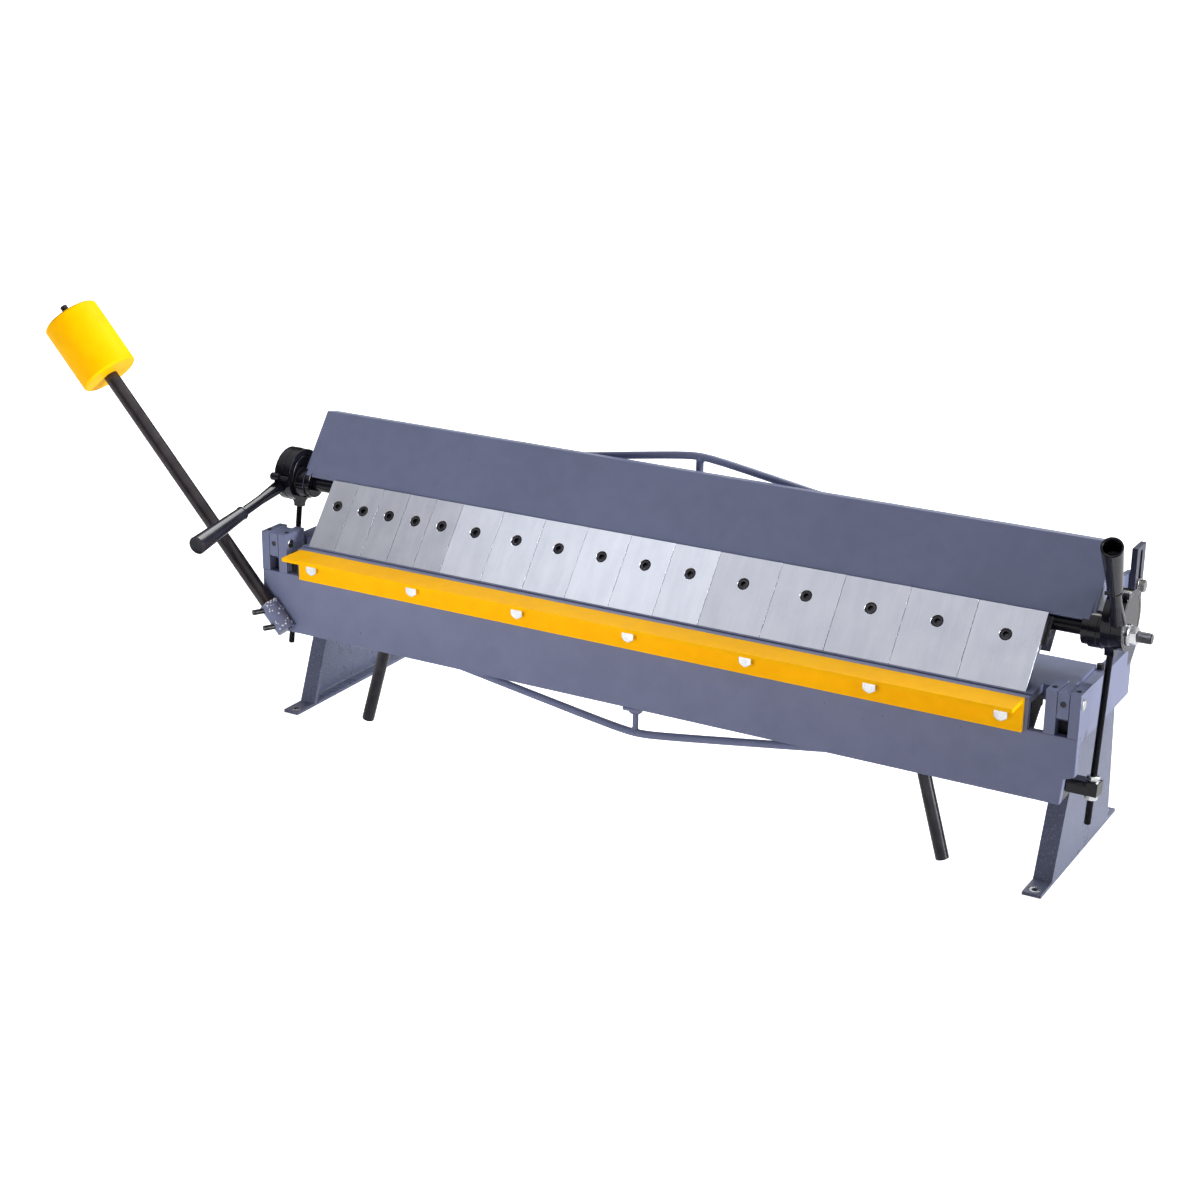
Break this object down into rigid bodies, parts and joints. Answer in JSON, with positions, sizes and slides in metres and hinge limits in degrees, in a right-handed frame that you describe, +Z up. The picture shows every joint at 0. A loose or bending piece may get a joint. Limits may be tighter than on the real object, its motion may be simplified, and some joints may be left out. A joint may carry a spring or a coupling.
{
  "type": "box and pan brake",
  "caption": "Hand sheet-metal folder with removable clamping fingers under a roofed leaf, a hinged folding apron, eccentric clamp levers and a counterweight.",
  "frame": {"origin": "centre of the four foot bolt holes, on the underside of the feet", "axes": "+X along the bend to the operator's right, +Y away from the operator, +Z up"},
  "size_m": [1.854, 0.4962, 0.6571],
  "materials": {
    "grey_paint": "blue-grey gloss enamel",
    "yellow_paint": "yellow gloss enamel",
    "ground_steel": "ground and lightly oiled",
    "black_enamel": "black gloss enamel",
    "black_oxide": "black oxide",
    "zinc": "bright zinc plate",
    "bright_steel": "turned steel",
    "dark_steel": "dark drawn bar, oiled",
    "grip_enamel": "dark gunmetal gloss"
  },
  "bodies": {
    "frame": {"left_stand": "grey_paint", "right_stand": "grey_paint", "left_side_plate": "grey_paint", "right_side_plate": "grey_paint", "bed_plate": "grey_paint", "frame_bolts": "black_oxide", "left_upright": "grey_paint", "right_upright": "grey_paint", "pivot_bolts": "zinc", "hinge_pins": "bright_steel", "knuckle_screws": "black_oxide", "rod_brackets": "black_enamel"},
    "leaf": {"clamping_leaf": "grey_paint", "leaf_end_plates": "grey_paint", "finger_beam": "black_enamel", "finger_01": "ground_steel", "finger_02": "ground_steel", "finger_03": "ground_steel", "finger_04": "ground_steel", "finger_05": "ground_steel", "finger_06": "ground_steel", "finger_07": "ground_steel", "finger_08": "ground_steel", "finger_09": "ground_steel", "finger_10": "ground_steel", "finger_11": "ground_steel", "finger_12": "ground_steel", "finger_13": "ground_steel", "finger_14": "ground_steel", "finger_15": "ground_steel", "finger_16": "ground_steel", "finger_screws": "black_oxide", "leaf_truss": "grey_paint"},
    "left_clamp": {"left_eccentric": "black_enamel", "left_hub": "black_enamel", "left_lever": "black_enamel", "left_grip": "grip_enamel"},
    "right_clamp": {"right_eccentric": "black_enamel", "right_hub": "black_enamel", "right_lever": "black_enamel", "right_grip": "grip_enamel", "stud_nut": "zinc"},
    "left_link": {"left_strap": "black_enamel", "left_rod": "black_enamel", "left_rod_nuts": "zinc", "left_swivel_block": "black_enamel"},
    "right_link": {"right_strap": "black_enamel", "right_rod": "black_enamel", "right_rod_nuts": "zinc", "right_swivel_block": "black_enamel"},
    "apron": {"apron_plate": "grey_paint", "apron_ears": "grey_paint", "apron_screws": "black_oxide", "angle_bar": "yellow_paint", "angle_bar_bolts": "zinc", "apron_truss": "grey_paint", "bending_handles": "dark_steel", "counterweight_socket": "grey_paint", "counterweight_rod": "dark_steel", "counterweight": "yellow_paint"}
  },
  "joints": [
    {"name": "apron_fold", "type": "hinge", "parent": "frame", "child": "apron", "pos_m": [0, -0.156, 0.295], "axis": [-1, 0, 0], "range_deg": [0, 90]},
    {"name": "leaf_lift", "type": "hinge", "parent": "frame", "child": "leaf", "pos_m": [0, 0.118, 0.383], "axis": [-1, 0, 0], "range_deg": [0, 2.5]},
    {"name": "left_lever_swing", "type": "hinge", "parent": "leaf", "child": "left_clamp", "pos_m": [0, -0.063, 0.372], "axis": [-1, 0, 0], "range_deg": [0, 42]},
    {"name": "right_lever_swing", "type": "hinge", "parent": "leaf", "child": "right_clamp", "pos_m": [0, -0.063, 0.372], "axis": [-1, 0, 0], "range_deg": [0, 37]},
    {"name": "left_rod_swing", "type": "hinge", "parent": "frame", "child": "left_link", "pos_m": [0, -0.089, 0.148], "axis": [-1, 0, 0], "range_deg": [0, 0.8]},
    {"name": "right_rod_swing", "type": "hinge", "parent": "frame", "child": "right_link", "pos_m": [0, -0.089, 0.148], "axis": [-1, 0, 0], "range_deg": [0, 2.3]}
  ],
  "couplings": [
    {"joint": "left_lever_swing", "follows": "leaf_lift", "ratio": 16.8},
    {"joint": "right_lever_swing", "follows": "leaf_lift", "ratio": 14.8},
    {"joint": "left_rod_swing", "follows": "leaf_lift", "ratio": 0.32},
    {"joint": "right_rod_swing", "follows": "leaf_lift", "ratio": 0.92}
  ]
}
